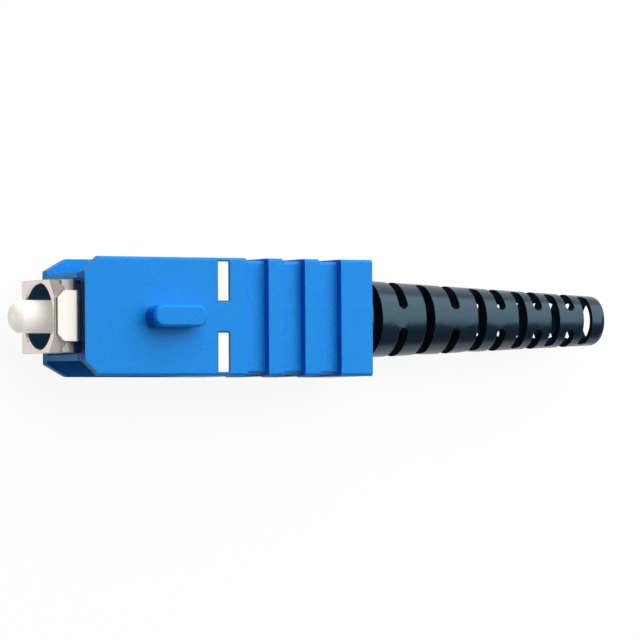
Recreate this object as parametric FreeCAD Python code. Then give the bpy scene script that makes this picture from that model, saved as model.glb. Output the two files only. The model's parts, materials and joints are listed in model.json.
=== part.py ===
import FreeCAD, Part
import math
import os
from FreeCAD import Vector

# SC push-pull fibre connector, built for a 3 mm cable.
# Frame: +X from the ferrule towards the boot, +Z towards the key side.
# The origin is on the ferrule's axis, at the front face of the plug frame.
# All sizes are in millimetres.

# --- ferrule -------------------------------------------------------------
ferrule_dia = 2.5
ferrule_length = 10.5
ferrule_stickout = 2.17
tip_chamfer_length = 0.42
tip_chamfer_depth = 0.36
tip_edge_break = 0.12
fibre_bore_dia = 0.126
fibre_funnel_dia = 0.8
fibre_funnel_length = 0.9
ferrule_waist_length = 0.6
ferrule_waist_depth = 0.08

# --- plug frame ----------------------------------------------------------
frame_length = 14.0
frame_width = 5.5
frame_height = 5.6
sleeve_bore_dia = 4.9
sleeve_bore_depth = 5.8
sleeve_leadin = 0.15
web_thickness = 1.0
web_hole_clearance = 0.6
flange_bore_dia = 4.7
collar_length = 0.9
corner_cut_width = 1.24
corner_cut_height = 0.8
shoulder_length = 0.85
shoulder_height = 4.6
relief_height = 4.1
spine_width = 3.86
block_start = 0.2
block_length = 1.65
block_height = 5.94
block_corner_cut = 0.55
ramp_start = 4.3
ramp_end = 6.5
ramp_rise = 0.6
ramp_width = 3.0
ramp_land = 0.3
ramp_root = 0.3
notch_length = 2.1
notch_depth = 0.12
flange_key_width = 0.6
flange_key_depth = 0.3
snap_width = 1.2
snap_length = 0.9
snap_height = 0.32
snap_edge = 0.55
snap_clearance = 0.05

# --- ferrule flange and guide tube ---------------------------------------
seat_gap = 0.02
flange_clearance = 0.12
flange_length = 2.0
flange_nose_bevel = 0.15
flange_notch_clearance = 0.08
flange_notch_count = 4
hub_dia = 3.0
hub_taper_length = 0.5
hub_length = 3.3
tube_dia = 1.0
tube_wall = 0.2
tube_length = 10.0
tube_seat = 3.0

# --- spring --------------------------------------------------------------
spring_wire_dia = 0.4
spring_mean_dia = 4.0
spring_turns = 4.0
wire_sides = 6

# --- rear body and crimp sleeve ------------------------------------------
nose_clearance = 0.05
nose_length = 1.6
stop_collar_length = 1.2
stop_collar_dia = 4.8
barrel_dia = 3.8
barrel_length = 6.3
barrel_ring_count = 3
barrel_ring_depth = 0.1
barrel_ring_width = 0.8
barrel_ring_pitch = 1.6
rear_bore_dia = 1.8
nose_bore_dia = 3.4
nose_bore_depth = 1.5
sleeve_wall = 0.3
sleeve_clearance = 0.05
sleeve_wide_length = 8.0
sleeve_narrow_dia = 4.0
sleeve_narrow_wall = 0.2
sleeve_neck_length = 0.5
sleeve_narrow_length = 3.3

# --- outer housing -------------------------------------------------------
housing_setback = 2.13
housing_length = 24.6
housing_width = 8.99
housing_height = 7.39
housing_draft = 0.02
housing_edge = 0.25
cavity_side_clearance = 0.1
cavity_block_clearance = 0.08
cavity_corner = 0.35
cavity_stop_gap = 0.13
pull_travel = 1.2
push_travel = 0.6
neck_clearance = 0.1
boot_clearance = 0.2
boot_pocket_wall = 0.5
top_chamfer_length = 1.25
top_chamfer_width = 1.15
bottom_chamfer_length = 1.75
bottom_chamfer_width = 0.95
rail_height = 0.74
bridge_thickness = 0.45
bridge_length = 1.2
recess_length = 9.6
window_length = 6.8
window_height = 4.6
key_start = 5.05
key_length = 4.55
key_width = 1.67
key_height = 1.6
key_bevel = 0.18
mark_start = 11.14
mark_length = 1.08
mark_inner = 1.12
mark_outer = 4.3
mark_corner = 0.2
mark_recess = 0.16
mark_fill = 0.1
mark_gap = 0.05
groove_start = 13.8
groove_width = 1.76
groove_pitch = 3.15
groove_count = 3
groove_depth = 0.7
groove_side_depth = 0.2
groove_bevel = 0.15

# --- boot ----------------------------------------------------------------
boot_tail = 48.83
boot_collar_dia = 6.24
boot_nose_dia = 4.8
boot_nose_length = 2.1
boot_shoulder = 27.3
boot_shoulder_dia = 6.08
boot_tail_dia = 3.92
boot_bore_dia = 3.2
boot_end_break = 0.3
boot_socket_clearance = 0.05
slot_width = 0.8
slot_bridge = 1.5
slot_end_ease = 0.3
first_slot_end = 28.03
slot_step_counts = (4, 2, 4)
front_slot_pitch = 2.4
middle_slot_pitch = 1.9
tail_slot_pitch = 1.54

# --- places that several pieces share -------------------------------------
ferrule_r = ferrule_dia / 2
ferrule_back = ferrule_length - ferrule_stickout
web_back = sleeve_bore_depth + web_thickness
flange_front = web_back + seat_gap
flange_back = flange_front + flange_length
hub_back = flange_back + hub_length
flange_bore_r = flange_bore_dia / 2
frame_back = frame_length
nose_front = frame_back - nose_length
spring_length = nose_front - flange_back
barrel_front = frame_back + stop_collar_length
barrel_back = barrel_front + barrel_length
sleeve_front = barrel_front
sleeve_step = sleeve_front + sleeve_wide_length
sleeve_back = sleeve_step + sleeve_neck_length + sleeve_narrow_length
sleeve_bore_r = barrel_dia / 2 + sleeve_clearance
sleeve_outer_r = sleeve_bore_r + sleeve_wall
sleeve_narrow_r = sleeve_narrow_dia / 2
housing_front = housing_setback
housing_back = housing_setback + housing_length
cavity_half_width = frame_width / 2 + cavity_side_clearance
cavity_half_height = block_height / 2 + cavity_block_clearance
cavity_back = frame_back + push_travel + cavity_stop_gap
neck_r = stop_collar_dia / 2 + neck_clearance
boot_collar_r = boot_collar_dia / 2
boot_pocket_r = boot_collar_r + boot_clearance
last_groove_back = housing_front + groove_start + (groove_count - 1) * groove_pitch + groove_width
boot_pocket_front = last_groove_back + boot_pocket_wall
boot_collar_front = boot_pocket_front + pull_travel + boot_clearance
boot_front = boot_collar_front - boot_nose_length
beyond = 20.0


def box(x0, x1, y0, y1, z0, z1):
    return Part.makeBox(x1 - x0, y1 - y0, z1 - z0, Vector(x0, y0, z0))


def block(x0, x1, width, height):
    """A box centred on the X axis."""
    return box(x0, x1, -width / 2, width / 2, -height / 2, height / 2)


def rod(x0, x1, radius):
    return Part.makeCylinder(radius, x1 - x0, Vector(x0, 0, 0), Vector(1, 0, 0))


def turned(profile):
    """A solid turned about the X axis from (x, radius) points."""
    points = [Vector(x, r, 0) for x, r in profile]
    face = Part.Face(Part.makePolygon(points + points[:1]))
    return face.revolve(Vector(0, 0, 0), Vector(1, 0, 0), 360)


def plan_prism(outline, z0, z1):
    """A prism along Z from (x, y) points."""
    points = [Vector(x, y, z0) for x, y in outline]
    face = Part.Face(Part.makePolygon(points + points[:1]))
    return face.extrude(Vector(0, 0, z1 - z0))


def section_prism(outline, x0, x1):
    """A prism along X from (y, z) points."""
    points = [Vector(x0, y, z) for y, z in outline]
    face = Part.Face(Part.makePolygon(points + points[:1]))
    return face.extrude(Vector(x1 - x0, 0, 0))


def mirrored_y(shape):
    return shape.mirror(Vector(0, 0, 0), Vector(0, 1, 0))


def mirrored_z(shape):
    return shape.mirror(Vector(0, 0, 0), Vector(0, 0, 1))


def edges_along(shape, axis):
    """The straight edges that run along one axis."""
    found = []
    for edge in shape.Edges:
        if len(edge.Vertexes) != 2:
            continue
        run = edge.Vertexes[1].Point.sub(edge.Vertexes[0].Point)
        if run.Length > 0 and abs(run.dot(axis)) / run.Length > 0.999:
            found.append(edge)
    return found


def make_ferrule():
    """The ceramic ferrule, with a shallow waist where the flange's mouth grips it."""
    tip = -ferrule_stickout
    back = ferrule_back
    face_r = ferrule_r - tip_chamfer_depth
    body = turned([
        (tip, 0),
        (tip, face_r - tip_edge_break),
        (tip + tip_edge_break / 2, face_r),
        (tip + tip_chamfer_length, ferrule_r),
        (flange_front, ferrule_r),
        (flange_front + ferrule_waist_length / 2, ferrule_r - ferrule_waist_depth),
        (flange_front + ferrule_waist_length, ferrule_r),
        (back, ferrule_r),
        (back, 0),
    ])
    bore = rod(tip - 1, back + 1, fibre_bore_dia / 2)
    funnel = turned([
        (back - fibre_funnel_length, 0),
        (back, fibre_funnel_dia / 2),
        (back + 1, fibre_funnel_dia / 2),
        (back + 1, 0),
    ])
    return body.cut(bore.fuse(funnel))


def frame_front_section():
    """The front stretch: square below, with both corners of the key side cut."""
    hw = frame_width / 2
    hh = frame_height / 2
    outline = [
        (-hw, -hh),
        (hw, -hh),
        (hw, hh - corner_cut_height),
        (hw - corner_cut_width, hh),
        (-hw + corner_cut_width, hh),
        (-hw, hh - corner_cut_height),
    ]
    return section_prism(outline, 0, shoulder_length + block_start)


def guide_block():
    """The raised pad that runs in the adapter, with its front corners cut at 45 degrees."""
    x0 = block_start
    x1 = block_start + block_length
    hw = spine_width / 2
    cut = block_corner_cut
    outline = [
        (x0, -hw + cut),
        (x0 + cut, -hw),
        (x1, -hw),
        (x1, hw),
        (x0 + cut, hw),
        (x0, hw - cut),
    ]
    return plan_prism(outline, 0, block_height / 2)


def latch_ramp():
    """The side ramp that spreads an adapter hook, and its square back."""
    y0 = frame_width / 2
    outline = [
        (ramp_start, y0 - ramp_root),
        (ramp_start, y0),
        (ramp_end - ramp_land, y0 + ramp_rise),
        (ramp_end, y0 + ramp_rise),
        (ramp_end, y0 - ramp_root),
    ]
    return plan_prism(outline, -ramp_width / 2, ramp_width / 2)


def make_plug_frame():
    shoulder_end = block_start + block_length
    body = frame_front_section()
    body = body.fuse(block(shoulder_length, shoulder_end, frame_width, shoulder_height))
    body = body.fuse(block(shoulder_end, frame_back, frame_width, relief_height))
    body = body.fuse(block(shoulder_length, frame_back, spine_width, frame_height))
    pad = guide_block()
    body = body.fuse(pad).fuse(mirrored_z(pad))
    ramp = latch_ramp()
    body = body.fuse(ramp).fuse(mirrored_y(ramp))
    body = body.fuse(block(frame_back - collar_length, frame_back, frame_width, frame_height))

    sleeve_r = sleeve_bore_dia / 2
    hollow = turned([
        (-1, 0),
        (-1, sleeve_r + sleeve_leadin),
        (0, sleeve_r + sleeve_leadin),
        (sleeve_leadin, sleeve_r),
        (sleeve_bore_depth, sleeve_r),
        (sleeve_bore_depth, ferrule_r + web_hole_clearance),
        (web_back, ferrule_r + web_hole_clearance),
        (web_back, flange_bore_r),
        (frame_back + 1, flange_bore_r),
        (frame_back + 1, 0),
    ])
    body = body.cut(hollow)

    notch_floor = frame_width / 2 - notch_depth
    notch = box(ramp_end, ramp_end + notch_length, notch_floor, frame_width,
                -ramp_width / 2, ramp_width / 2)
    window = snap_lug(snap_clearance)
    body = body.cut(notch.fuse(mirrored_y(notch)))
    body = body.cut(window.fuse(mirrored_y(window)))
    return body.fuse(flange_keys()).removeSplitter()


def flange_keys():
    """Two ribs in the bore that stop the ferrule from turning."""
    key = box(web_back, flange_back, -flange_key_width / 2, flange_key_width / 2,
              flange_bore_r - flange_key_depth, flange_bore_r + flange_key_depth)
    return key.fuse(mirrored_z(key))


def snap_lug(gap):
    """One snap lug of the rear body, or its window in the plug frame when gap is set."""
    x0 = nose_front + snap_edge - gap
    x1 = nose_front + snap_edge + snap_length + gap
    y0 = ferrule_r
    y1 = flange_bore_r - nose_clearance + snap_height + gap
    if gap:
        y1 = frame_width
    return box(x0, x1, y0, y1, -snap_width / 2 - gap, snap_width / 2 + gap)


def make_ferrule_flange():
    collar_r = flange_bore_r - flange_clearance
    hub_r = hub_dia / 2
    nose_r = collar_r - flange_nose_bevel
    tube_r = tube_dia / 2
    body = turned([
        (flange_front, ferrule_r),
        (flange_front, nose_r),
        (flange_front + flange_nose_bevel, collar_r),
        (flange_back, collar_r),
        (flange_back, hub_r),
        (hub_back - hub_taper_length, hub_r),
        (hub_back, hub_r - hub_taper_length / 2),
        (hub_back, tube_r),
        (ferrule_back, tube_r),
        (ferrule_back, ferrule_r),
    ])
    notch_r = flange_bore_r - flange_key_depth - flange_notch_clearance
    notch_width = flange_key_width + 2 * flange_notch_clearance
    notch = box(flange_front - 1, flange_back + seat_gap, -notch_width / 2, notch_width / 2,
                notch_r, flange_bore_r)
    for index in range(flange_notch_count):
        turn = notch.copy()
        turn.rotate(Vector(0, 0, 0), Vector(1, 0, 0), index * 360 / flange_notch_count)
        body = body.cut(turn)
    return body


def make_guide_tube():
    x0 = hub_back - tube_seat
    tube_r = tube_dia / 2
    return rod(x0, x0 + tube_length, tube_r).cut(rod(x0 - 1, x0 + tube_length + 1, tube_r - tube_wall))


def make_spring():
    """A coil of drawn wire with both ends ground flat."""
    wire_r = spring_wire_dia / 2
    mean_r = spring_mean_dia / 2
    coil_height = spring_length + wire_r
    pitch = coil_height / spring_turns
    helix = Part.makeHelix(pitch, coil_height, mean_r)
    tangent = Vector(0, 2 * math.pi * mean_r, pitch).normalize()
    outward = Vector(1, 0, 0)
    across = Vector(0, -tangent.z, tangent.y)
    corners = []
    for index in range(wire_sides):
        turn = 2 * math.pi * (index + 0.5) / wire_sides
        offset = outward * (wire_r * math.cos(turn)) + across * (wire_r * math.sin(turn))
        corners.append(outward * mean_r + offset)
    section = Part.makePolygon(corners + corners[:1])
    coil = Part.Wire(helix).makePipeShell([section], True, True)
    coil.rotate(Vector(0, 0, 0), Vector(0, 1, 0), 90)
    coil.translate(Vector(flange_back - wire_r / 2, 0, 0))
    return coil.common(rod(flange_back, nose_front, mean_r + spring_wire_dia))


def make_rear_body():
    nose_r = flange_bore_r - nose_clearance
    barrel_r = barrel_dia / 2
    bore_r = rear_bore_dia / 2
    nose_bore_back = nose_front + nose_bore_depth
    body = turned([
        (nose_front, nose_bore_dia / 2),
        (nose_front, nose_r),
        (frame_back, nose_r),
        (frame_back, stop_collar_dia / 2),
        (barrel_front, stop_collar_dia / 2),
        (barrel_front, barrel_r),
        (barrel_back, barrel_r),
        (barrel_back, bore_r),
        (nose_bore_back, bore_r),
        (nose_bore_back, nose_bore_dia / 2),
    ])
    for index in range(barrel_ring_count):
        x0 = barrel_front + barrel_ring_pitch * (index + 1)
        ring = rod(x0, x0 + barrel_ring_width, barrel_r + 1)
        ring = ring.cut(rod(x0 - 1, x0 + 1 + barrel_ring_width, barrel_r - barrel_ring_depth))
        body = body.cut(ring)
    lug = snap_lug(0)
    lugs = lug.fuse(mirrored_y(lug))
    lugs = lugs.cut(rod(nose_front - 1, barrel_back, nose_bore_dia / 2))
    return body.fuse(lugs).removeSplitter()


def make_crimp_sleeve():
    narrow_front = sleeve_step + sleeve_neck_length
    return turned([
        (sleeve_front, sleeve_bore_r),
        (sleeve_front, sleeve_outer_r),
        (sleeve_step, sleeve_outer_r),
        (narrow_front, sleeve_narrow_r),
        (sleeve_back, sleeve_narrow_r),
        (sleeve_back, sleeve_narrow_r - sleeve_narrow_wall),
        (narrow_front, sleeve_narrow_r - sleeve_narrow_wall),
        (sleeve_step, sleeve_bore_r),
    ])


def housing_blank():
    """The tapered outside, with its long edges rounded and its front corners cut."""
    hw = housing_width / 2
    hh = housing_height / 2
    outline = [
        (housing_front, -hw),
        (housing_back, -hw + housing_draft),
        (housing_back, hw - housing_draft),
        (housing_front, hw),
    ]
    body = plan_prism(outline, -hh, hh)
    body = body.makeFillet(housing_edge, edges_along(body, Vector(1, 0, 0)))
    for z0, z1, length, width in (
        (0, hh, top_chamfer_length, top_chamfer_width),
        (-hh, 0, bottom_chamfer_length, bottom_chamfer_width),
    ):
        corner = plan_prism([
            (housing_front - 1, hw - width - width / length),
            (housing_front + length + 1, hw + width / length),
            (housing_front - 1, hw + width / length),
        ], z0, z1)
        body = body.cut(corner.fuse(mirrored_y(corner)))
    return body


def grip_groove(x0):
    """One groove round all four sides, deep on the broad ones and bevelled at its front edge."""
    hw = housing_width / 2 - groove_side_depth
    hh = housing_height / 2 - groove_depth
    x1 = x0 + groove_width
    ring = block(x0, x1, beyond, beyond)
    core = block(x0 - 1, x1 + 1, 2 * hw, 2 * hh)
    core = core.makeFillet(housing_edge, edges_along(core, Vector(1, 0, 0)))
    bevel = groove_bevel
    lip = block(x0 - bevel, x0 + bevel, beyond, beyond)
    lip = lip.cut(block(x0 - 1, x0 + 1, housing_width - 2 * bevel, housing_height - 2 * bevel))
    return ring.cut(core).fuse(lip)


def index_pocket(gap, depth, floor):
    """The rounded rectangle of a mark, drawn in by gap, from its floor up by depth."""
    x0 = housing_front + mark_start + gap
    x1 = housing_front + mark_start + mark_length - gap
    pocket = box(x0, x1, mark_inner + gap, mark_outer - gap, floor, floor + depth)
    return pocket.makeFillet(mark_corner - gap, edges_along(pocket, Vector(0, 0, 1)))


def side_recess():
    """The channel for an adapter hook in one side wall, and its window through to the frame."""
    inner = cavity_half_width
    floor = inner + bridge_thickness
    half = housing_height / 2 - rail_height
    window_front = housing_front + bridge_length
    channel = box(housing_front - 1, housing_front + recess_length, floor, housing_width,
                  -half, half)
    window = box(window_front, window_front + window_length, 0, housing_width,
                 -window_height / 2, window_height / 2)
    return channel.fuse(window)


def housing_hollow():
    """The cavity of the plug frame, the neck of the rear body and the boot's pocket."""
    x0 = housing_front
    cavity = block(x0 - 1, cavity_back, 2 * cavity_half_width, 2 * cavity_half_height)
    cavity = cavity.makeFillet(cavity_corner, edges_along(cavity, Vector(1, 0, 0)))
    neck = rod(cavity_back - 1, housing_back, neck_r)
    pocket = turned([
        (boot_pocket_front, 0),
        (boot_pocket_front, boot_pocket_r),
        (housing_back - housing_edge, boot_pocket_r),
        (housing_back, boot_pocket_r + housing_edge / 2),
        (housing_back + 1, boot_pocket_r + housing_edge / 2),
        (housing_back + 1, 0),
    ])
    return cavity.fuse(neck).fuse(pocket)


def make_key():
    """The raised key with round ends."""
    z0 = housing_height / 2 - groove_bevel
    z1 = housing_height / 2 + key_height
    x0 = housing_front + key_start
    r = key_width / 2
    bar = box(x0 + r, x0 + key_length - r, -r, r, z0, z1)
    for x in (x0 + r, x0 + key_length - r):
        bar = bar.fuse(Part.makeCylinder(r, z1 - z0, Vector(x, 0, z0)))
    bar = bar.removeSplitter()
    top = [e for e in bar.Edges if e.BoundBox.ZMin > z1 - 1e-6]
    return bar.makeChamfer(key_bevel, top)


def make_outer_housing():
    body = housing_blank()
    for index in range(groove_count):
        body = body.cut(grip_groove(housing_front + groove_start + index * groove_pitch))
    body = body.fuse(make_key())
    body = body.cut(housing_hollow())
    recess = side_recess()
    body = body.cut(recess.fuse(mirrored_y(recess)))
    floor = housing_height / 2 - mark_recess
    pocket = index_pocket(0, mark_recess + 1, floor)
    return body.cut(pocket.fuse(mirrored_y(pocket)))


def make_index_marks():
    """The two paint fills, one in each recess of the key side."""
    fill = index_pocket(mark_gap, mark_fill, housing_height / 2 - mark_recess)
    return Part.makeCompound([fill, mirrored_y(fill)])


def slot_ends():
    """The rear edge of each slot; the gaps shrink towards the tail."""
    ends = [first_slot_end]
    pitches = (front_slot_pitch, middle_slot_pitch, tail_slot_pitch)
    for count, pitch in zip(slot_step_counts, pitches):
        for step in range(count):
            ends.append(ends[-1] + pitch)
    return ends


def boot_slot(x1, turned_over):
    """A pair of facing slots with eased ends, which leave two bridges between them."""
    x0 = x1 - slot_width
    y0 = slot_bridge / 2
    ease = slot_width * slot_end_ease
    cut = plan_prism([
        (x0, beyond),
        (x0, y0 + ease),
        (x0 + ease, y0),
        (x1 - ease, y0),
        (x1, y0 + ease),
        (x1, beyond),
    ], -beyond, beyond)
    pair = cut.fuse(mirrored_y(cut))
    if turned_over:
        pair.rotate(Vector(0, 0, 0), Vector(1, 0, 0), 90)
    return pair


def make_boot():
    shoulder_r = boot_shoulder_dia / 2
    tail_r = boot_tail_dia / 2
    nose_r = boot_nose_dia / 2
    socket_r = sleeve_narrow_r + boot_socket_clearance
    body = turned([
        (boot_front, 0),
        (boot_front, nose_r),
        (boot_collar_front, nose_r),
        (boot_collar_front, boot_collar_r),
        (housing_back, boot_collar_r),
        (boot_shoulder, shoulder_r),
        (boot_tail - boot_end_break, tail_r),
        (boot_tail - boot_end_break / 4, tail_r - boot_end_break / 4),
        (boot_tail, tail_r - boot_end_break / 2),
        (boot_tail, 0),
    ])
    body = body.cut(rod(boot_front - 1, sleeve_back, socket_r))
    body = body.cut(rod(boot_front, boot_tail + 1, boot_bore_dia / 2))
    for index, x1 in enumerate(slot_ends()):
        body = body.cut(boot_slot(x1, index % 2 == 0))
    return body


def main():
    os.makedirs("parts", exist_ok=True)
    pieces = {
        "ferrule": make_ferrule(),
        "ferrule_flange": make_ferrule_flange(),
        "guide_tube": make_guide_tube(),
        "spring": make_spring(),
        "plug_frame": make_plug_frame(),
        "rear_body": make_rear_body(),
        "crimp_sleeve": make_crimp_sleeve(),
        "outer_housing": make_outer_housing(),
        "index_marks": make_index_marks(),
        "boot": make_boot(),
    }
    for name, shape in pieces.items():
        shape.exportStep("parts/" + name + ".step")
        print(name, shape.ShapeType, len(shape.Solids), shape.isValid(),
              round(shape.Volume, 3), shape.BoundBox)


main()
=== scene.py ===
import json
import math

import bmesh
import bpy
from bpy.props import FloatProperty, FloatVectorProperty, PointerProperty
from mathutils import Matrix, Vector


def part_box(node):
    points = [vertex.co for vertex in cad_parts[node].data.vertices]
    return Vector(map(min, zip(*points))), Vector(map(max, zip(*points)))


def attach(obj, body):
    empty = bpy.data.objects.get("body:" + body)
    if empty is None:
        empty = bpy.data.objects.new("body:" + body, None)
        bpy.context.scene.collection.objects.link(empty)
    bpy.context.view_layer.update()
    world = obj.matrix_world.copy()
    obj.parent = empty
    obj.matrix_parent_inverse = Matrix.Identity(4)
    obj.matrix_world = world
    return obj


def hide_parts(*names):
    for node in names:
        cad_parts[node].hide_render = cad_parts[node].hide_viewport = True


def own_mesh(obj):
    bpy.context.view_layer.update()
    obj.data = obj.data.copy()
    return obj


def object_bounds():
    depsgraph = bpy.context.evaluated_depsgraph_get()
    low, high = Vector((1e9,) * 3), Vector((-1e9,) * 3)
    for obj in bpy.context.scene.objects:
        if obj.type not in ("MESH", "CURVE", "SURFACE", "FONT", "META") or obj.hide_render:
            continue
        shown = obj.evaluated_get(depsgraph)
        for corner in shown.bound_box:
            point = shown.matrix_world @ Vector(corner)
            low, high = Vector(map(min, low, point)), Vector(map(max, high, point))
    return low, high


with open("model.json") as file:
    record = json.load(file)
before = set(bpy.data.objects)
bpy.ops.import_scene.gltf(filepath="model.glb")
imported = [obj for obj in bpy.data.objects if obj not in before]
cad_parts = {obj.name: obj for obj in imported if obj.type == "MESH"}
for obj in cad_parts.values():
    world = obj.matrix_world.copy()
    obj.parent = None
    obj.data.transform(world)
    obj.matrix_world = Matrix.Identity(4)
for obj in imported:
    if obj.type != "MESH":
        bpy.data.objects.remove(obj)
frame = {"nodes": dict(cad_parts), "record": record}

bl_info = {
    "name": "Fibre Plug Finishes",
    "version": (1, 0, 0),
    "blender": (4, 5, 0),
    "location": "View3D > Sidebar > Fibre Plug",
    "description": "Finishes and studio stage for a push-pull fibre-optic plug",
    "category": "Material",
}

MM = 0.001
CAD_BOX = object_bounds()

# Where a finish changes on a piece. Ends are measured along X from the plug frame's front face, and the
# rest from the ferrule's axis.
BROAD_LEVEL = 2.3 * MM  # the sleeve's front-facing faces are broad above this height, bridges below it
MOUTH_END = 2.6 * MM  # the painted shade on the wall above the plug frame ends here
MOUTH_HALF = 3.0 * MM  # and is this wide to each side
MOUTH_FADE = 0.5 * MM
MARK_INNER = 1.17 * MM  # the ends of the index marks that look at each other
MARK_RIM = 0.07 * MM
GUIDE_LEVEL = 2.9 * MM  # the guide block's upper land is above this height
GUIDE_END = 1.86 * MM
BORE_RADIUS = 2.47 * MM

# How squarely a face has to look in a direction, as a cosine or a product of two.
LOOKS_AHEAD = 0.8
LOOKS_BACK = 0.05
LOOKS_UP = 0.95
LOOKS_OUTWARD = 0.6
LOOKS_DIAGONAL = 0.25

CLOUD_START = 0.3  # the value at which a noise begins to lighten a colour
EDGE_GAIN = 6.0  # how fast an edge shows as its rounding turns away from the flat face
BEVEL_SAMPLES = 6

# Tints that belong to one finish.
# painted shade on the sleeve's front wall above the plug frame
MOUTH_SHADE = (0.001, 0.022, 0.070, 1.0)
# painted highlight along the sleeve's edges that don't look back
EDGE_PAINTED_HIGHLIGHT = (0.13, 0.46, 0.86, 1.0)
# painted shade round the index marks, where their recess wall would shade them
MARK_RIM_SHADE = (0.10, 0.13, 0.17, 1.0)
# painted glow of the ferrule, standing in for light carried through the ceramic
PAINTED_GLOW = ((0.33, 0.31, 0.28, 1.0), (0.37, 0.35, 0.32, 1.0))
BOOT_SHEEN = (0.50, 0.86, 1.0, 1.0)
# painted shade, streaked by flow, on the plug frame's +Y corner facets, and painted light on its -Y ones
FACET_PAINTED_SHADE = ((0.11, 0.085, 0.075, 1.0), (0.27, 0.225, 0.20, 1.0))
FACET_PAINTED_LIGHT = (0.95, 0.87, 0.85, 1.0)
# painted shade on the guide block's lower land and painted light on its upper land
GUIDE_PAINTED_SHADE_AND_LIGHT = ((0.40, 0.36, 0.34, 1.0), (0.69, 0.665, 0.59, 1.0))
# painted shade in the plug frame's bore
BORE_SHADE = (0.02, 0.07, 0.14, 1.0)
# painted dark reflection along the plug frame's edges
EDGE_PAINTED_DARK_REFLECTION = (0.22, 0.15, 0.11, 1.0)
TUBE_WHITES = ((0.78, 0.79, 0.78, 1.0), (0.86, 0.86, 0.84, 1.0))

COIL_STEPS = 48  # rings of points in each turn of the spring
WIRE_SIDES = 12

WHITE = (1.0, 1.0, 1.0, 1.0)
FLOOR_REACH = 2.0
FLOOR_BOUNCE = (0.34, 0.35, 0.37, 1.0)
SHADOW_SHARE = 0.08
STUDIO_TINT = (0.93, 0.96, 1.0, 1.0)
KEY_OFFSET = Vector((0.14, 0.235, 0.28))
KEY_WIDTH, KEY_HEIGHT = 0.72, 0.64
TIP_OFFSET = Vector((-0.13, -0.03, 0.06))
TIP_CONE = math.radians(2.4)
TIP_SIZE = 20 * MM
AIM_SHIFT = -1.2 * MM  # the camera aims this far from the middle of the plug's length
SENSOR_WIDTH = 36.0  # in millimetres, as the lens is
CLIP_START, CLIP_END = 0.01, 5.0


# --- shader expressions -----------------------------------------------------------


def opaque(colour):
    """A colour with full alpha."""
    return (*colour, 1.0)


def scaled(colour, factor):
    """A colour made lighter or darker, with full alpha."""
    return tuple(min(1.0, channel * factor) for channel in colour[:3]) + (1.0,)


class Value:
    """A node's output that takes part in Python arithmetic; each operation adds a Math node."""

    def __init__(self, graph, socket):
        self.graph = graph
        self.socket = socket

    def math(self, operation, *operands):
        """This value as the first operand of an operation."""
        inputs = dict(enumerate((self,) + operands))
        return self.graph.node("ShaderNodeMath", {"operation": operation}, inputs)

    def reflected(self, operation, other):
        """This value as the second operand of an operation on a plain number."""
        return self.graph.node("ShaderNodeMath", {"operation": operation}, {0: other, 1: self})

    def __add__(self, other):
        return self.math("ADD", other)

    def __radd__(self, other):
        return self.reflected("ADD", other)

    def __sub__(self, other):
        return self.math("SUBTRACT", other)

    def __rsub__(self, other):
        return self.reflected("SUBTRACT", other)

    def __mul__(self, other):
        return self.math("MULTIPLY", other)

    def __rmul__(self, other):
        return self.reflected("MULTIPLY", other)

    def __truediv__(self, other):
        return self.math("DIVIDE", other)

    def __rtruediv__(self, other):
        return self.reflected("DIVIDE", other)

    def __abs__(self):
        return self.math("ABSOLUTE")

    def above(self, limit):
        """1 where the value is above the limit, 0 elsewhere."""
        return self.math("GREATER_THAN", limit)

    def clamped(self):
        """The value held between 0 and 1."""
        return self.math("MAXIMUM", 0.0).math("MINIMUM", 1.0)

    def steeper(self, start, gain):
        """A noise with more contrast: 0 at start, and rising gain times as fast."""
        return (self - start) * gain

    def swing(self, amount):
        """A noise as a swing to both sides of 0, amount wide."""
        return (self - 0.5) * amount


class Graph:
    """A node tree under construction."""

    def __init__(self, tree):
        self.tree = tree
        tree.nodes.clear()

    def new_node(self, kind, settings=None, inputs=None):
        """Adds one node: its settings first, then the values or links of its sockets."""
        made = self.tree.nodes.new(kind)
        for name, value in (settings or {}).items():
            setattr(made, name, value)
        for name, value in (inputs or {}).items():
            if isinstance(value, Value):
                self.tree.links.new(value.socket, made.inputs[name])
            else:
                made.inputs[name].default_value = value
        return made

    def node(self, kind, settings=None, inputs=None, output=0):
        """Adds one node and returns one of its outputs."""
        return Value(self, self.new_node(kind, settings, inputs).outputs[output])

    def parts_of(self, vector):
        """The three components of a vector."""
        split = self.new_node("ShaderNodeSeparateXYZ", inputs={0: vector})
        return [Value(self, socket) for socket in split.outputs]

    def ray(self, *kinds):
        """1 for rays of any of these kinds, 0 for the rest."""
        outputs = self.new_node("ShaderNodeLightPath").outputs
        found = Value(self, outputs[kinds[0]])
        for kind in kinds[1:]:
            found = found.math("MAXIMUM", Value(self, outputs[kind]))
        return found

    def mix_colours(self, factor, colour_a, colour_b):
        """One colour turning into another as the factor rises from 0 to 1."""
        return self.node("ShaderNodeMix", {"data_type": "RGBA", "clamp_factor": True},
                         {0: factor, 6: colour_a, 7: colour_b}, output=2)

    def mix_shaders(self, factor, shader_a, shader_b):
        """One shader turning into another as the factor rises from 0 to 1."""
        return self.node("ShaderNodeMixShader", inputs={0: factor, 1: shader_a, 2: shader_b})


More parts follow.
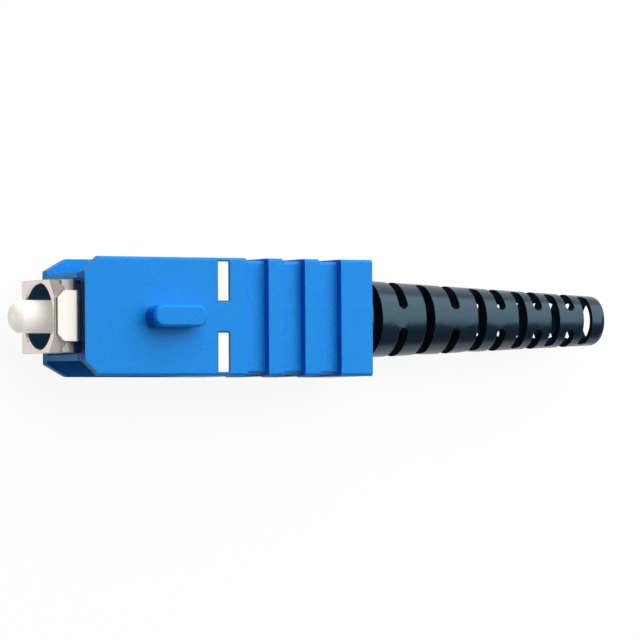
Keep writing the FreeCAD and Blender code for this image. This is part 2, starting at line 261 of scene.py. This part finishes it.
class Surface(Graph):
    """A material whose nodes read positions in the part's own frame, in metres."""

    def __init__(self, name):
        self.material = bpy.data.materials.new(name)
        self.material.use_nodes = True
        super().__init__(self.material.node_tree)
        self.place = self.node("ShaderNodeTexCoord", output="Object")

    def noise(self, grain, detail=3.0, roughness=0.55, stretch=(1.0, 1.0, 1.0)):
        """Noise whose patches are about grain millimetres across, stretched along the axes."""
        scale = tuple(1.0 / (grain * MM * s) for s in stretch)
        where = self.node("ShaderNodeVectorMath", {"operation": "MULTIPLY"}, {0: self.place, 1: scale})
        return self.node("ShaderNodeTexNoise",
                         inputs={"Vector": where, "Scale": 1.0, "Detail": detail, "Roughness": roughness})

    def clouded(self, noise, colour, darkest, lightest=1.0, gain=1.5):
        """A colour that drifts with a noise between two shades of itself."""
        factor = noise.steeper(CLOUD_START, gain)
        return self.mix_colours(factor, scaled(colour, darkest), scaled(colour, lightest))

    def facing(self):
        """The three components of the direction that a face looks in."""
        return self.parts_of(self.node("ShaderNodeNewGeometry", output="Normal"))

    def axis_distance(self):
        """Distance from the ferrule's axis."""
        _, across, height = self.parts_of(self.place)
        return (across * across + height * height).math("SQRT")

    def rounded(self, radius):
        """Face directions with every edge rounded by radius millimetres."""
        return self.node("ShaderNodeBevel", {"samples": BEVEL_SAMPLES}, {"Radius": radius * MM})

    def soft_normal(self, radius, height=None, strength=0.0, depth=0.0):
        """Edges rounded by radius, with a height field raised by depth on top, both in millimetres."""
        if height is None:
            return self.rounded(radius)
        return self.node("ShaderNodeBump", inputs={
            "Strength": strength, "Distance": depth * MM, "Height": height,
            "Normal": self.rounded(radius)})

    def edge_mask(self, radius):
        """About 1 on edges, inside and outside, within radius millimetres, and 0 on flats."""
        agree = self.node(
            "ShaderNodeVectorMath", {"operation": "DOT_PRODUCT"},
            {0: self.rounded(radius), 1: self.node("ShaderNodeNewGeometry", output="Normal")},
            output="Value")
        return ((1.0 - agree) * EDGE_GAIN).clamped()

    def principled(self, inputs):
        """A Principled shader with these values or links on its sockets."""
        return self.node("ShaderNodeBsdfPrincipled", inputs=inputs)

    def close(self, shader):
        """Ends the material in this shader and returns it."""
        self.new_node("ShaderNodeOutputMaterial", inputs={"Surface": shader})
        return self.material


# --- finishes ---------------------------------------------------------------------


def moulded_blue(settings):
    """Fine-grained satin plastic, with painted shade in a deeper blue on its broad front faces, above the
    plug frame and along its trailing edges, and painted light on its bridge fronts with painted highlights
    along its leading edges.
    """
    s = Surface("moulded_blue")
    clouds = s.noise(2.2, detail=4.0)
    grain = s.noise(0.16, detail=2.0)
    base = s.clouded(clouds, settings.blue, 0.95, 1.06, gain=1.6)
    speckled = s.mix_colours(grain.steeper(0.42, 3.0), scaled(settings.blue, 0.88), base)
    bright = s.mix_colours(grain.steeper(0.55, 3.0), speckled, scaled(settings.blue, 1.22))

    along, across, height = s.parts_of(s.place)
    leading = (0.0 - s.facing()[0]).above(LOOKS_AHEAD)
    broad = height.above(BROAD_LEVEL)
    # Faces that look ahead get painted shade, a deeper blue, on the broad sleeve, and painted light, a paler
    # blue, on the side bridges.
    front = s.mix_colours(broad, opaque(settings.bridge_painted_light), opaque(settings.front_painted_shade))
    # Painted shade on the broad front wall above the plug frame, fading out to the sides.
    mouth = (1.0 - along.above(MOUTH_END)) * ((MOUTH_HALF - abs(across)) / MOUTH_FADE).clamped()
    shaded = s.mix_colours(mouth * broad, front, MOUTH_SHADE)
    faced = s.mix_colours(leading, bright, shaded)

    edge_width = 0.1
    edge = s.edge_mask(edge_width)
    trailing = s.parts_of(s.rounded(edge_width))[0].above(LOOKS_BACK)
    # Edges that don't look back get a painted highlight, a paler blue.
    edge_highlighted = s.mix_colours(edge * (1.0 - trailing) * 0.34, faced, EDGE_PAINTED_HIGHLIGHT)
    # Edges that look back get painted shade, a darker blue.
    edge_shaded = s.mix_colours(edge * trailing * 0.45, edge_highlighted, scaled(settings.blue, 0.55))
    return s.close(s.principled({
        "Base Color": edge_shaded,
        "Roughness": 0.46 + clouds.swing(0.10) + grain.swing(0.08),
        "Normal": s.soft_normal(edge_width, grain, strength=0.22, depth=0.02),
        "Specular IOR Level": 0.15,
        "Subsurface Weight": 0.4,
        "Subsurface Scale": 0.6 * MM,
        "Subsurface Radius": (0.01, 0.12, 1.0)}))


def paint_fill(settings):
    """White marking paint, slightly uneven where it has settled, with a dark rim of painted shade where its
    recess wall would shade it.
    """
    s = Surface("paint_fill")
    pool = s.noise(0.9, detail=3.0)
    base = s.clouded(pool, settings.mark_white, 0.95, gain=1.4)

    low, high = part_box("index_marks")
    middle_x, half_x = (low.x + high.x) / 2, (high.x - low.x) / 2
    middle_y, half_y = (MARK_INNER + high.y) / 2, (high.y - MARK_INNER) / 2
    along, across, _ = s.parts_of(s.place)
    past_x = abs(along - middle_x) - (half_x - MARK_RIM)
    past_y = abs(abs(across) - middle_y) - (half_y - MARK_RIM)
    # A rim of painted shade round each mark, where the recess wall would shade it.
    rim = past_x.math("MAXIMUM", past_y).above(0.0)
    return s.close(s.principled({
        "Base Color": s.mix_colours(rim * 0.85, base, MARK_RIM_SHADE),
        "Roughness": 0.38 + pool * 0.15,
        "Normal": s.soft_normal(0.05, pool, strength=0.25, depth=0.03)}))


def machined_metal(name, colour, roughness, grain):
    """Turned or drawn metal: fine cloudy patches and faint tool marks, grain millimetres apart."""
    s = Surface(name)
    clouds = s.noise(0.8, detail=4.0)
    marks = s.noise(grain, detail=2.0, stretch=(6.0, 1.0, 1.0))
    return s.close(s.principled({
        "Base Color": s.clouded(clouds, colour, 0.90, 1.04),
        "Metallic": 1.0,
        "Roughness": roughness + clouds.swing(0.10) + marks.swing(0.10),
        "Normal": s.soft_normal(0.06, marks, strength=0.12, depth=0.01)}))


def ground_zirconia(settings):
    """Dense white ceramic with a smooth ground flank, a little light carried below its surface, and a painted
    glow from emission that stands in for more of that light.
    """
    s = Surface("ground_zirconia")
    clouds = s.noise(0.9, detail=3.0)
    rings = s.noise(0.05, detail=1.0, stretch=(1.0, 12.0, 12.0))
    return s.close(s.principled({
        "Base Color": s.clouded(clouds, settings.ceramic, 0.97, gain=1.4),
        "Roughness": 0.26 + clouds.swing(0.06),
        "Normal": s.soft_normal(0.10, rings, strength=0.05, depth=0.004),
        "Subsurface Weight": 1.0,
        "Subsurface Scale": 1.8 * MM,
        "Subsurface Radius": (1.0, 0.9, 0.8),
        # The emission is a painted glow: the ferrule shines without being a lamp.
        "Emission Color": s.mix_colours(clouds, *PAINTED_GLOW),
        "Emission Strength": 1.0}))


def moulded_black(settings):
    """Flexible black moulding with a cool sheen outside and painted highlights along its edges, and a dull,
    hardly reflecting copy in its slots and bore as painted shade.
    """
    s = Surface("moulded_black")
    clouds = s.noise(1.6, detail=4.0)
    grain = s.noise(0.12, detail=2.0)
    black = settings.boot_black
    base = s.clouded(clouds, black, 0.85, 1.25, gain=1.6)
    outside = s.principled({
        # Edges are painted lighter, as painted highlights.
        "Base Color": s.mix_colours(s.edge_mask(0.08) * 0.30, base, scaled(black, 3.0)),
        "Roughness": 0.27 + clouds.swing(0.12) + grain.swing(0.08),
        "Normal": s.soft_normal(0.08, grain, strength=0.20, depth=0.02),
        "IOR": 1.55,
        "Specular Tint": BOOT_SHEEN})
    # Painted shade: the slots and bore get a dull, hardly reflecting copy of the finish so that they stay
    # dark.
    inside = s.principled({"Base Color": base, "Roughness": 0.75, "Specular IOR Level": 0.06})
    _, sideways, upward = s.facing()
    _, across, height = s.parts_of(s.place)
    outward = (sideways * across + upward * height) / s.axis_distance()
    return s.close(s.mix_shaders(outward.above(LOOKS_OUTWARD), inside, outside))


def bright_plating(settings):
    """Warm bright plating on a die casting, with faint flow marks and soft cast edges; painted dark
    reflections line those edges, painted shade and light tint its corner facets and guide lands, and painted
    shade fills its bore.
    """
    s = Surface("bright_plating")
    clouds = s.noise(1.1, detail=3.0)
    flow = s.noise(0.30, detail=2.0, stretch=(4.0, 1.0, 1.0))
    base = s.clouded(clouds, settings.plating, 0.93)

    _, sideways, upward = s.facing()
    along, _, height = s.parts_of(s.place)
    facet = (abs(sideways) * abs(upward)).above(LOOKS_DIAGONAL)
    # Corner facets get painted shade with flow streaks on the +Y side and painted light on the -Y side, with
    # little metal reflection.
    facets = s.mix_colours(sideways.above(0.0), FACET_PAINTED_LIGHT, s.mix_colours(flow, *FACET_PAINTED_SHADE))
    guide = upward.above(LOOKS_UP) * (1.0 - along.above(GUIDE_END))
    # Guide block lands: painted shade on the lower one, painted light on the upper one, both with little
    # metal reflection.
    lands = s.mix_colours(height.above(GUIDE_LEVEL), *GUIDE_PAINTED_SHADE_AND_LIGHT)
    # The bore gets painted shade and no metal reflection.
    bore = 1.0 - s.axis_distance().above(BORE_RADIUS)

    cast = s.mix_colours(facet, s.mix_colours(guide, base, lands), facets)
    deep = s.mix_colours(bore, cast, BORE_SHADE)
    return s.close(s.principled({
        # Edges get painted dark reflections, brown lines along them.
        "Base Color": s.mix_colours(s.edge_mask(0.1) * 0.55, deep, EDGE_PAINTED_DARK_REFLECTION),
        "Metallic": ((1.0 - facet * 0.85) - guide * 0.8).clamped() * (1.0 - bore),
        "Roughness": 0.24 + clouds.swing(0.10) + flow.swing(0.08),
        "Normal": s.soft_normal(0.12, flow, strength=0.20, depth=0.012)}))


def drawn_plastic():
    """The waxy white of an extruded tube."""
    s = Surface("drawn_plastic")
    clouds = s.noise(1.2)
    return s.close(s.principled({
        "Base Color": s.mix_colours(clouds, *TUBE_WHITES),
        "Roughness": 0.45 + clouds * 0.1,
        "Normal": s.soft_normal(0.03)}))


def dress(node, material):
    """Gives a CAD node one finish over all its faces."""
    mesh = frame["nodes"][node].data
    mesh.materials.clear()
    mesh.materials.append(material)
    for polygon in mesh.polygons:
        polygon.material_index = 0


# --- spring -----------------------------------------------------------------------


def coil_rings(low, high, shape):
    """Rings of points round a coil's wire, its end turns wound closer than its middle."""
    wire = shape.wire_radius
    mean = high.y - wire
    length = high.x - low.x - 2 * wire
    winding = math.tau * shape.turns
    steps = int(shape.turns * COIL_STEPS)
    round_wire = [math.tau * k / WIRE_SIDES for k in range(WIRE_SIDES)]
    rings = []
    for step in range(steps + 1):
        part = step / steps
        angle = winding * part
        closing = shape.end_closing * math.sin(math.tau * part) / math.tau
        rise = length * (1 - shape.end_closing * math.cos(math.tau * part)) / winding  # for each radian
        radial = Vector((0.0, math.cos(angle), math.sin(angle)))
        tangent = Vector((rise, -mean * math.sin(angle), mean * math.cos(angle))).normalized()
        side = tangent.cross(radial)
        centre = Vector((low.x + wire + length * (part - closing), 0.0, 0.0)) + radial * mean
        rings.append([centre + (radial * math.cos(a) + side * math.sin(a)) * wire for a in round_wire])
    return rings


def coil_mesh(rings):
    """A closed tube through rings of points, smooth round its wire and flat at both ends."""
    maker = bmesh.new()
    rings = [[maker.verts.new(point) for point in ring] for ring in rings]
    for ring, following in zip(rings, rings[1:]):
        for k in range(WIRE_SIDES):
            after = (k + 1) % WIRE_SIDES
            maker.faces.new((ring[k], ring[after], following[after], following[k])).smooth = True
    maker.faces.new(list(reversed(rings[0])))
    maker.faces.new(rings[-1])
    bmesh.ops.recalc_face_normals(maker, faces=maker.faces)
    mesh = bpy.data.meshes.new("coil_spring")
    maker.to_mesh(mesh)
    maker.free()
    return mesh


def travel_of(name):
    """How far a sliding joint goes from rest to its upper limit, in metres."""
    joints = {joint["name"]: joint for joint in frame["record"]["behaviour"]["joints"]}
    return joints[name]["range_m"][1]


def coil_spring(shape, material):
    """A round-wire spring in its seat at its rest length; the ferrule's travel is read but nothing presses
    the spring by it.
    """
    low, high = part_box("spring")
    mesh = coil_mesh(coil_rings(low, high, shape))
    mesh.materials.append(material)
    spring = bpy.data.objects.new("coil_spring", mesh)
    bpy.context.scene.collection.objects.link(spring)
    length = high.x - low.x
    travel = travel_of("ferrule_slide")
    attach(spring, "core")
    (length - travel) / length
    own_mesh(spring)
    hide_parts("spring")


# --- stage ------------------------------------------------------------------------


def pale_floor():
    """A floor that shows as near white, with a share of its real shading kept."""
    s = Surface("pale_floor")
    lighting = s.node("ShaderNodeBsdfDiffuse", inputs={"Color": FLOOR_BOUNCE})
    white = s.node("ShaderNodeBsdfDiffuse", inputs={"Color": WHITE})
    glow = s.node("ShaderNodeEmission", inputs={"Color": WHITE, "Strength": 1.0})
    seen = s.mix_shaders(SHADOW_SHARE, glow, white)
    return s.close(s.mix_shaders(s.ray("Is Camera Ray", "Is Glossy Ray"), lighting, seen))


def lay_floor():
    """A wide floor at the level that the plug rests on."""
    level = CAD_BOX[0].z
    corners = [(x * FLOOR_REACH, y * FLOOR_REACH, level) for x, y in ((-1, -1), (1, -1), (1, 1), (-1, 1))]
    mesh = bpy.data.meshes.new("floor")
    mesh.from_pydata(corners, [], [(0, 1, 2, 3)])
    mesh.materials.append(pale_floor())
    floor = bpy.data.objects.new("floor", mesh)
    bpy.context.scene.collection.objects.link(floor)


def hang_lamp(name, kind, target, offset, power, **settings):
    """A lamp of some kind, offset from its target and facing it."""
    data = bpy.data.lights.new(name, kind)
    data.energy = power
    for setting, value in settings.items():
        setattr(data, setting, value)
    lamp = bpy.data.objects.new(name, data)
    lamp.location = target + offset
    lamp.rotation_euler = (-offset).to_track_quat("-Z", "Y").to_euler()
    bpy.context.scene.collection.objects.link(lamp)


def hang_lamps(stage):
    """A large soft light over the boot's side, and a snooted spot that reaches little beyond the ferrule."""
    middle = (CAD_BOX[0] + CAD_BOX[1]) / 2
    hang_lamp("key_light", "AREA", middle, KEY_OFFSET, stage.key_power,
              shape="RECTANGLE", size=KEY_WIDTH, size_y=KEY_HEIGHT)
    tip = Vector((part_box("ferrule")[0].x, 0.0, 0.0))
    hang_lamp("tip_light", "SPOT", tip, TIP_OFFSET, stage.tip_power,
              spot_size=TIP_CONE, spot_blend=0.8, shadow_soft_size=TIP_SIZE)


def make_world(stage):
    """A studio that is brighter towards the boot and +Y than across from there, and white to the camera."""
    world = bpy.data.worlds.new("studio")
    bpy.context.scene.world = world
    world.use_nodes = True
    g = Graph(world.node_tree)
    far, lit = (g.node("ShaderNodeBackground", inputs={"Color": STUDIO_TINT, "Strength": strength})
                for strength in (stage.far_side, stage.lit_side))
    along, across, _ = g.parts_of(g.node("ShaderNodeTexCoord", output="Generated"))
    side = ((along + across) * 0.5 + 0.5).clamped()
    white = g.node("ShaderNodeBackground", inputs={"Strength": 1.0})
    shown = g.mix_shaders(g.ray("Is Camera Ray"), g.mix_shaders(side, far, lit), white)
    g.new_node("ShaderNodeOutputWorld", inputs={"Surface": shown})


def make_camera(stage):
    """The camera looks down on the key side, leaning towards the ferrule."""
    turn = Matrix.Rotation(stage.side, 3, "X") @ Matrix.Rotation(-stage.lean, 3, "Y")
    right, up, back = (turn @ Vector(axis) for axis in ((1.0, 0.0, 0.0), (0.0, 1.0, 0.0), (0.0, 0.0, 1.0)))
    right, up = (right * math.cos(stage.roll) + up * math.sin(stage.roll),
                 up * math.cos(stage.roll) - right * math.sin(stage.roll))
    middle_x = (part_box("ferrule")[0].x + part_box("boot")[1].x) / 2 + AIM_SHIFT
    aim = Vector((middle_x, 0.0, 0.0)) + right * stage.slide_right + up * stage.slide_up
    data = bpy.data.cameras.new("camera")
    data.sensor_width = SENSOR_WIDTH
    data.lens = SENSOR_WIDTH * stage.distance / stage.across
    data.clip_start, data.clip_end = CLIP_START, CLIP_END
    camera = bpy.data.objects.new("camera", data)
    rows = Matrix((right, up, back)).transposed()
    camera.matrix_world = Matrix.Translation(aim + back * stage.distance) @ rows.to_4x4()
    bpy.context.scene.collection.objects.link(camera)
    bpy.context.scene.camera = camera


# --- settings ---------------------------------------------------------------------


def colour_setting(name, description, default):
    """A colour that a user can pick."""
    return FloatVectorProperty(name=name, description=description, default=default,
                               subtype="COLOR", size=3, min=0.0, max=1.0)


def strength_setting(name, description, default):
    """The power or strength of a light."""
    return FloatProperty(name=name, description=description, default=default, min=0.0)


class FIBRE_PG_finishes(bpy.types.PropertyGroup):
    """Colours of the plug's materials"""

    blue: colour_setting("Sleeve blue", "Colour of the push-pull sleeve", (0.002, 0.262, 0.755))
    # Painted shade: the deeper blue that the sleeve's broad front faces are painted with.
    front_painted_shade: colour_setting(
        "Front painted shade", "Colour of the sleeve's faces that look ahead", (0.000, 0.150, 0.660))
    # Painted light: the paler blue that the side bridges' front faces are painted with.
    bridge_painted_light: colour_setting(
        "Bridge painted light", "Colour of the side bridges' front faces", (0.040, 0.380, 0.850))
    mark_white: colour_setting("Mark white", "Colour of the two index marks", (0.92, 0.925, 0.92))
    plating: colour_setting("Plating", "Colour of the plug frame's bright plating", (0.80, 0.71, 0.65))
    steel: colour_setting("Steel", "Colour of the inner metal pieces", (0.60, 0.60, 0.58))
    ceramic: colour_setting("Ceramic", "Colour of the ferrule", (0.80, 0.77, 0.74))
    boot_black: colour_setting("Boot black", "Colour of the strain relief", (0.003, 0.010, 0.024))


class FIBRE_PG_spring(bpy.types.PropertyGroup):
    """Shape of the spring inside its seat"""

    wire_radius: FloatProperty(
        name="Wire radius", description="Radius of the spring's wire", default=0.2 * MM, unit="LENGTH")
    turns: FloatProperty(
        name="Turns", description="Turns of wire from one end to the other", default=4.0, min=1.0)
    end_closing: FloatProperty(
        name="End closing", description="How much closer than the mean pitch the end turns are wound",
        default=0.75, min=0.0, max=1.0, subtype="FACTOR")


class FIBRE_PG_stage(bpy.types.PropertyGroup):
    """Camera and light"""

    distance: FloatProperty(
        name="Camera distance", description="From the camera to the middle of the plug",
        default=0.400, unit="LENGTH")
    lean: FloatProperty(
        name="Camera lean", description="How far the camera leans from straight above to the ferrule's end",
        default=math.radians(28.44), unit="ROTATION")
    side: FloatProperty(
        name="Camera side step", description="How far the camera leans to the plug's -Y side",
        default=math.radians(1.72), unit="ROTATION")
    roll: FloatProperty(
        name="Camera roll", description="Turn of the camera about its own axis",
        default=math.radians(0.45), unit="ROTATION")
    slide_right: FloatProperty(
        name="Slide right", description="How far the camera is moved along the picture's width",
        default=0.00175, unit="LENGTH")
    slide_up: FloatProperty(
        name="Slide up", description="How far the camera is moved along the picture's height",
        default=-0.00010, unit="LENGTH")
    across: FloatProperty(
        name="Picture width", description="Width of plug that the picture takes in at the plug's middle",
        default=0.04945, unit="LENGTH")
    key_power: strength_setting("Key light", "Power of the large soft light", 3.95)
    tip_power: strength_setting("Tip light", "Power of the narrow light on the ferrule", 0.28)
    lit_side: strength_setting("Lit side", "Strength of the surroundings towards the boot and +Y", 0.28)
    far_side: strength_setting("Far side", "Strength of the surroundings towards the ferrule and -Y", 0.08)


# --- operators --------------------------------------------------------------------


class FIBRE_OT_sleeve(bpy.types.Operator):
    """Finish the push-pull sleeve and its two index marks"""

    bl_idname = "fibre.sleeve"
    bl_label = "Sleeve"

    def execute(self, context):
        settings = context.scene.fibre_finishes
        dress("outer_housing", moulded_blue(settings))
        dress("index_marks", paint_fill(settings))
        return {"FINISHED"}


class FIBRE_OT_plug_frame(bpy.types.Operator):
    """Finish the plug frame"""

    bl_idname = "fibre.plug_frame"
    bl_label = "Plug frame"

    def execute(self, context):
        dress("plug_frame", bright_plating(context.scene.fibre_finishes))
        return {"FINISHED"}


class FIBRE_OT_ferrule(bpy.types.Operator):
    """Finish the ferrule and the guide tube behind it"""

    bl_idname = "fibre.ferrule"
    bl_label = "Ferrule"

    def execute(self, context):
        dress("ferrule", ground_zirconia(context.scene.fibre_finishes))
        dress("guide_tube", drawn_plastic())
        return {"FINISHED"}


class FIBRE_OT_turned_pieces(bpy.types.Operator):
    """Finish the ferrule's flange, the stop body and the crimp sleeve"""

    bl_idname = "fibre.turned_pieces"
    bl_label = "Turned pieces"

    def execute(self, context):
        turned = machined_metal("turned_metal", context.scene.fibre_finishes.steel, 0.30, 0.04)
        for node in ("ferrule_flange", "rear_body", "crimp_sleeve"):
            dress(node, turned)
        return {"FINISHED"}


class FIBRE_OT_spring(bpy.types.Operator):
    """Wind the spring between the flange and the stop body"""

    bl_idname = "fibre.spring"
    bl_label = "Spring"

    def execute(self, context):
        dark_steel = scaled(context.scene.fibre_finishes.steel, 0.8)
        coil_spring(context.scene.fibre_spring, machined_metal("spring_wire", dark_steel, 0.22, 0.03))
        return {"FINISHED"}


class FIBRE_OT_boot(bpy.types.Operator):
    """Finish the slotted strain relief"""

    bl_idname = "fibre.boot"
    bl_label = "Boot"

    def execute(self, context):
        dress("boot", moulded_black(context.scene.fibre_finishes))
        return {"FINISHED"}


class FIBRE_OT_stage(bpy.types.Operator):
    """Lay the floor and set the lights, the surroundings and the camera"""

    bl_idname = "fibre.stage"
    bl_label = "Stage"

    def execute(self, context):
        stage = context.scene.fibre_stage
        lay_floor()
        hang_lamps(stage)
        make_world(stage)
        make_camera(stage)
        context.scene.view_settings.view_transform = "Standard"
        return {"FINISHED"}


OPERATORS = (FIBRE_OT_sleeve, FIBRE_OT_plug_frame, FIBRE_OT_ferrule, FIBRE_OT_turned_pieces,
             FIBRE_OT_spring, FIBRE_OT_boot, FIBRE_OT_stage)
GROUPS = {"fibre_finishes": FIBRE_PG_finishes, "fibre_spring": FIBRE_PG_spring, "fibre_stage": FIBRE_PG_stage}


class FIBRE_PT_panel(bpy.types.Panel):
    """Settings and steps of the plug, in the order that they are run"""

    bl_label = "Fibre Plug"
    bl_idname = "FIBRE_PT_panel"
    bl_space_type = "VIEW_3D"
    bl_region_type = "UI"
    bl_category = "Fibre Plug"

    def draw(self, context):
        for place, group in GROUPS.items():
            for name in group.__annotations__:
                self.layout.prop(getattr(context.scene, place), name)
        for operator in OPERATORS:
            self.layout.operator(operator.bl_idname)


CLASSES = (*GROUPS.values(), *OPERATORS, FIBRE_PT_panel)


def register():
    for cls in CLASSES:
        bpy.utils.register_class(cls)
    for place, group in GROUPS.items():
        setattr(bpy.types.Scene, place, PointerProperty(type=group))


def unregister():
    for place in GROUPS:
        delattr(bpy.types.Scene, place)
    for cls in reversed(CLASSES):
        bpy.utils.unregister_class(cls)


def main():
    register()
    bpy.ops.fibre.sleeve()
    bpy.ops.fibre.plug_frame()
    bpy.ops.fibre.ferrule()
    bpy.ops.fibre.turned_pieces()
    bpy.ops.fibre.spring()
    bpy.ops.fibre.boot()
    bpy.ops.fibre.stage()


if __name__ == "__main__":
    main()
